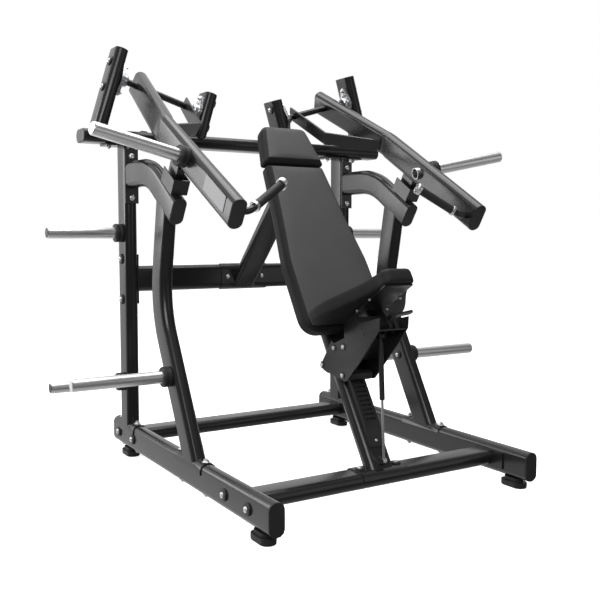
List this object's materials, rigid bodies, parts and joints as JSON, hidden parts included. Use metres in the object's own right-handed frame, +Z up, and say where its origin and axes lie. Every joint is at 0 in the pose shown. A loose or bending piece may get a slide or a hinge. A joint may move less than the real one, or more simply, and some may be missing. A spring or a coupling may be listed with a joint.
{
  "type": "chest press machine",
  "caption": "Plate-loaded incline chest press machine: a steel tube frame with a steep padded backrest, a height-adjustable seat and two independently pivoting press levers.",
  "frame": {"origin": "on the floor under the middle of the frame's footprint", "axes": "+Z up; the user faces -Y; +X is the seated user's left"},
  "size_m": [1.984, 1.48, 1.8078],
  "materials": {
    "frame_paint": "satin black powder coat",
    "polished_chrome": "polished",
    "bearing_steel": "zinc plated",
    "black_rubber": "matt",
    "black_plastic": "moulded",
    "pad_leatherette": "fine grain"
  },
  "bodies": {
    "frame": {"side_rail_l": "frame_paint", "side_rail_r": "frame_paint", "rail_cap_front_l": "black_rubber", "rail_cap_front_r": "black_rubber", "rail_cap_rear_l": "black_rubber", "rail_cap_rear_r": "black_rubber", "foot_front_l": "black_rubber", "foot_front_r": "black_rubber", "foot_rear_l": "black_rubber", "foot_rear_r": "black_rubber", "crossbar_front": "frame_paint", "crossbar_rear": "frame_paint", "crossbar_middle": "frame_paint", "crossbar_top": "frame_paint", "rear_upright_l": "frame_paint", "rear_upright_r": "frame_paint", "front_upright_l": "frame_paint", "front_upright_r": "frame_paint", "bracket_arm_l": "frame_paint", "bracket_arm_r": "frame_paint", "hanger_post_outer_l": "frame_paint", "hanger_post_outer_r": "frame_paint", "hanger_post_inner_l": "frame_paint", "hanger_post_inner_r": "frame_paint", "flange_bearing_outer_l": "bearing_steel", "flange_bearing_outer_r": "bearing_steel", "flange_bearing_inner_l": "bearing_steel", "flange_bearing_inner_r": "bearing_steel", "stop_pocket_l": "frame_paint", "stop_pocket_r": "frame_paint", "storage_horn_upper_l": "polished_chrome", "storage_horn_upper_r": "polished_chrome", "storage_horn_lower_l": "polished_chrome", "storage_horn_lower_r": "polished_chrome", "storage_horn_front_l": "polished_chrome", "storage_horn_front_r": "polished_chrome", "seat_post": "frame_paint", "seat_post_cover": "black_plastic", "backrest_brace": "frame_paint", "backrest_frame": "frame_paint", "back_pad": "pad_leatherette", "head_pad": "pad_leatherette"},
    "left_lever": {"lever_arm_l": "frame_paint", "lever_cross_bar_l": "frame_paint", "lever_axle_l": "bearing_steel", "lever_horn_l": "polished_chrome", "handle_tube_l": "frame_paint", "handle_grip_l": "black_rubber"},
    "right_lever": {"lever_arm_r": "frame_paint", "lever_cross_bar_r": "frame_paint", "lever_axle_r": "bearing_steel", "lever_horn_r": "polished_chrome", "handle_tube_r": "frame_paint", "handle_grip_r": "black_rubber"},
    "seat": {"seat_carriage": "frame_paint", "seat_pad": "pad_leatherette"},
    "roller": {"seat_roller": "black_plastic"},
    "paddle": {"release_paddle": "black_plastic"},
    "gas_rod": {"gas_rod": "polished_chrome"},
    "gas_cylinder": {"gas_cylinder": "black_plastic"}
  },
  "joints": [
    {"name": "left_press", "type": "hinge", "parent": "frame", "child": "left_lever", "pos_m": [0.4165, 0.58, 1.62], "axis": [-0.9583, 0, -0.2857], "range_deg": [0, 55]},
    {"name": "right_press", "type": "hinge", "parent": "frame", "child": "right_lever", "pos_m": [-0.4165, 0.58, 1.62], "axis": [-0.9583, 0, 0.2857], "range_deg": [0, 55]},
    {"name": "seat_height", "type": "slide", "parent": "frame", "child": "seat", "axis": [0, 0.5373, 0.8434], "range_m": [-0.1, 0]},
    {"name": "roller_spin", "type": "hinge", "parent": "seat", "child": "roller", "pos_m": [0, -0.38384, 0.4579], "axis": [1, 0, 0], "range_deg": [-4, 306]},
    {"name": "paddle_squeeze", "type": "hinge", "parent": "seat", "child": "paddle", "pos_m": [0.03, -0.536, 0.698], "axis": [0, -0.8554, 0.518], "range_deg": [0, 15], "stiffness_Nm_per_rad": 0.5, "springref_deg": -8.59},
    {"name": "gas_rod_swing", "type": "hinge", "parent": "frame", "child": "gas_rod", "pos_m": [0, -0.545, 0.157], "axis": [1, 0, 0], "range_deg": [-1, 8]},
    {"name": "gas_cylinder_slide", "type": "slide", "parent": "gas_rod", "child": "gas_cylinder", "axis": [0, 0.0615, 0.9981], "range_m": [-0.087, 0.001]}
  ],
  "couplings": [
    {"joint": "roller_spin", "follows": "seat_height", "rad_per_m": -52.632},
    {"joint": "gas_rod_swing", "follows": "seat_height", "rad_per_m": -1.2111},
    {"joint": "gas_cylinder_slide", "follows": "seat_height", "ratio": 0.8493}
  ]
}
